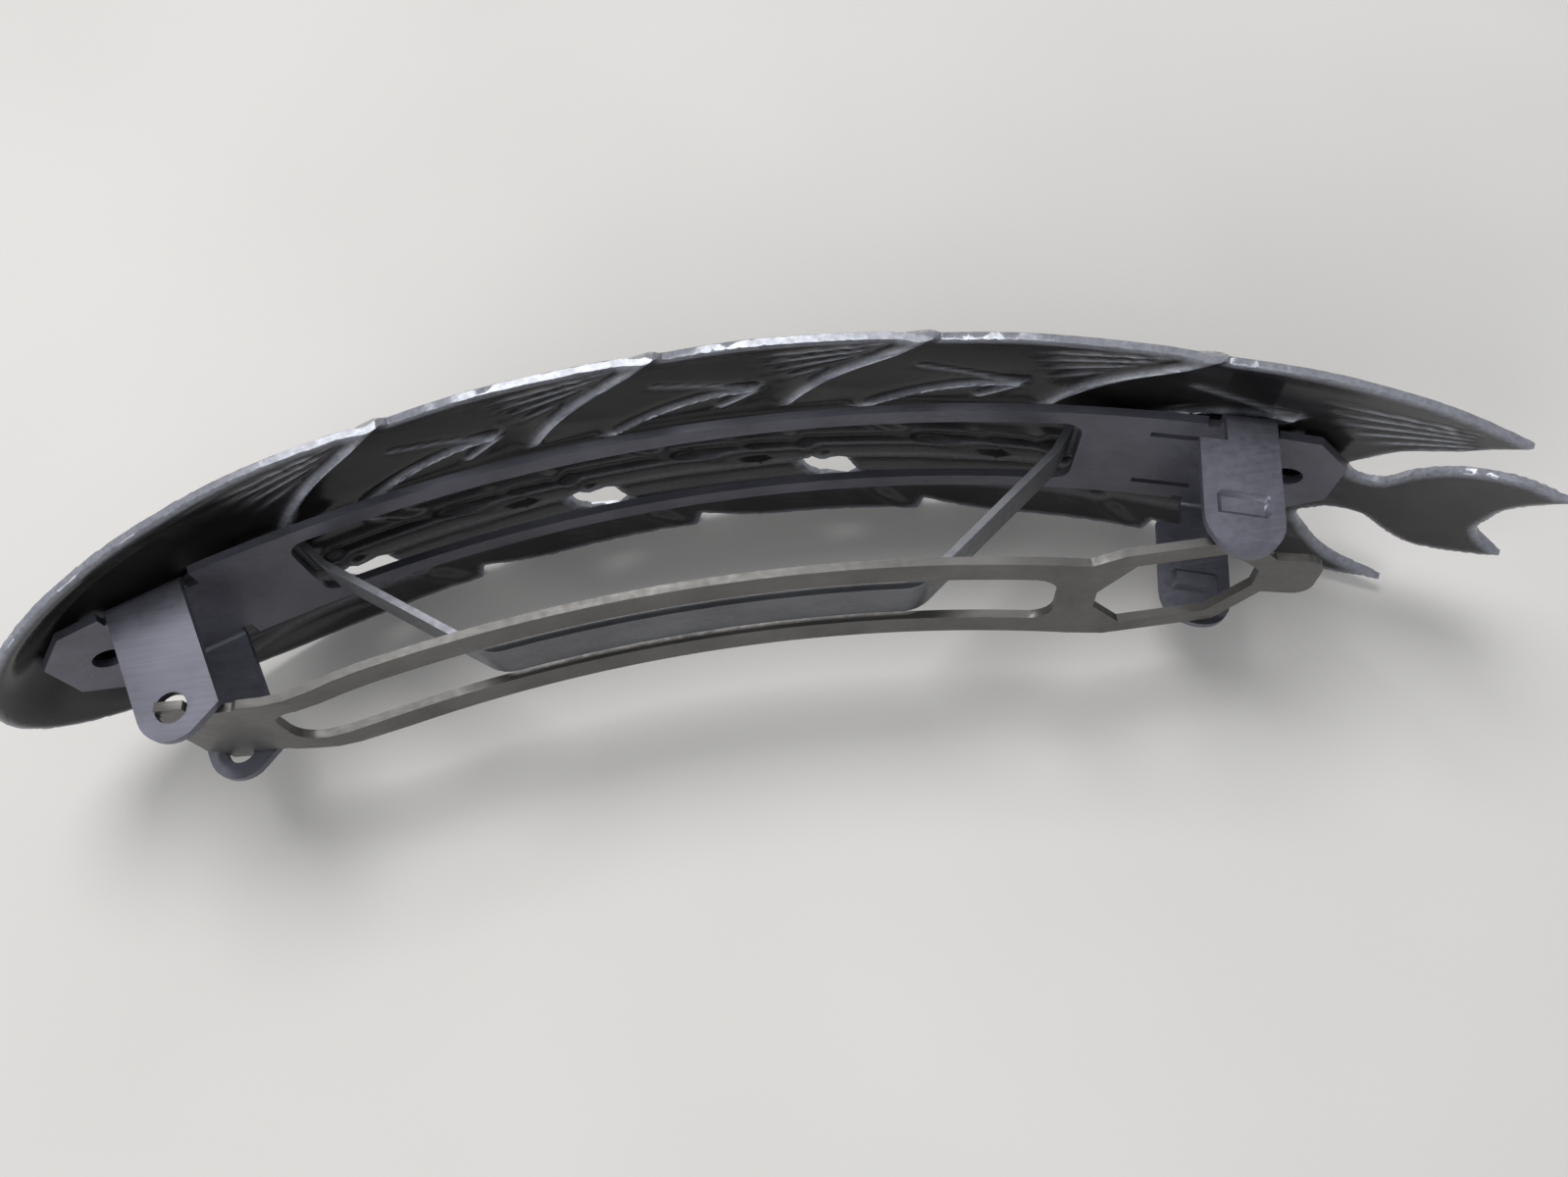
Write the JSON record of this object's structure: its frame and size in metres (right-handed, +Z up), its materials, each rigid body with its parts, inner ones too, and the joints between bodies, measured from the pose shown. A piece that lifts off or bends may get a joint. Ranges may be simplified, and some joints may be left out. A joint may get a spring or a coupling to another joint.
{
  "type": "barrette",
  "caption": "Long arched hair barrette: a pierced leaf-shaped black ornament with a sprung French clip on its back, whose clasp arm hinges open from the base.",
  "frame": {"origin": "middle of the bottom of the bounding box, below the clip, on the surface that the lower long edge stands on", "axes": "+X runs along the barrette from the hinge end to the catch end, +Y points to the decorated side, +Z is up, across the width"},
  "size_m": [0.0946, 0.0186, 0.0214],
  "materials": {
    "black_lacquer": "black lacquer over stamped sheet metal, semi-gloss, rubbed to grey at the rims and beads",
    "dark_steel": "blackened spring steel, satin",
    "spring_steel": "dark tempered spring strip",
    "solder": "soft solder, dull grey"
  },
  "bodies": {
    "barrette_body": {"ornament": "black_lacquer", "clip_base": "dark_steel", "tension_bow": "spring_steel", "solder_joint_left": "solder", "solder_joint_right": "solder"},
    "clasp": {"clasp_arm": "dark_steel"}
  },
  "joints": [
    {"name": "clasp_hinge", "type": "hinge", "parent": "barrette_body", "child": "clasp", "pos_m": [-0.03427, -0.00729, 0.0107], "axis": [0, 0, -1], "range_deg": [0, 95]}
  ]
}
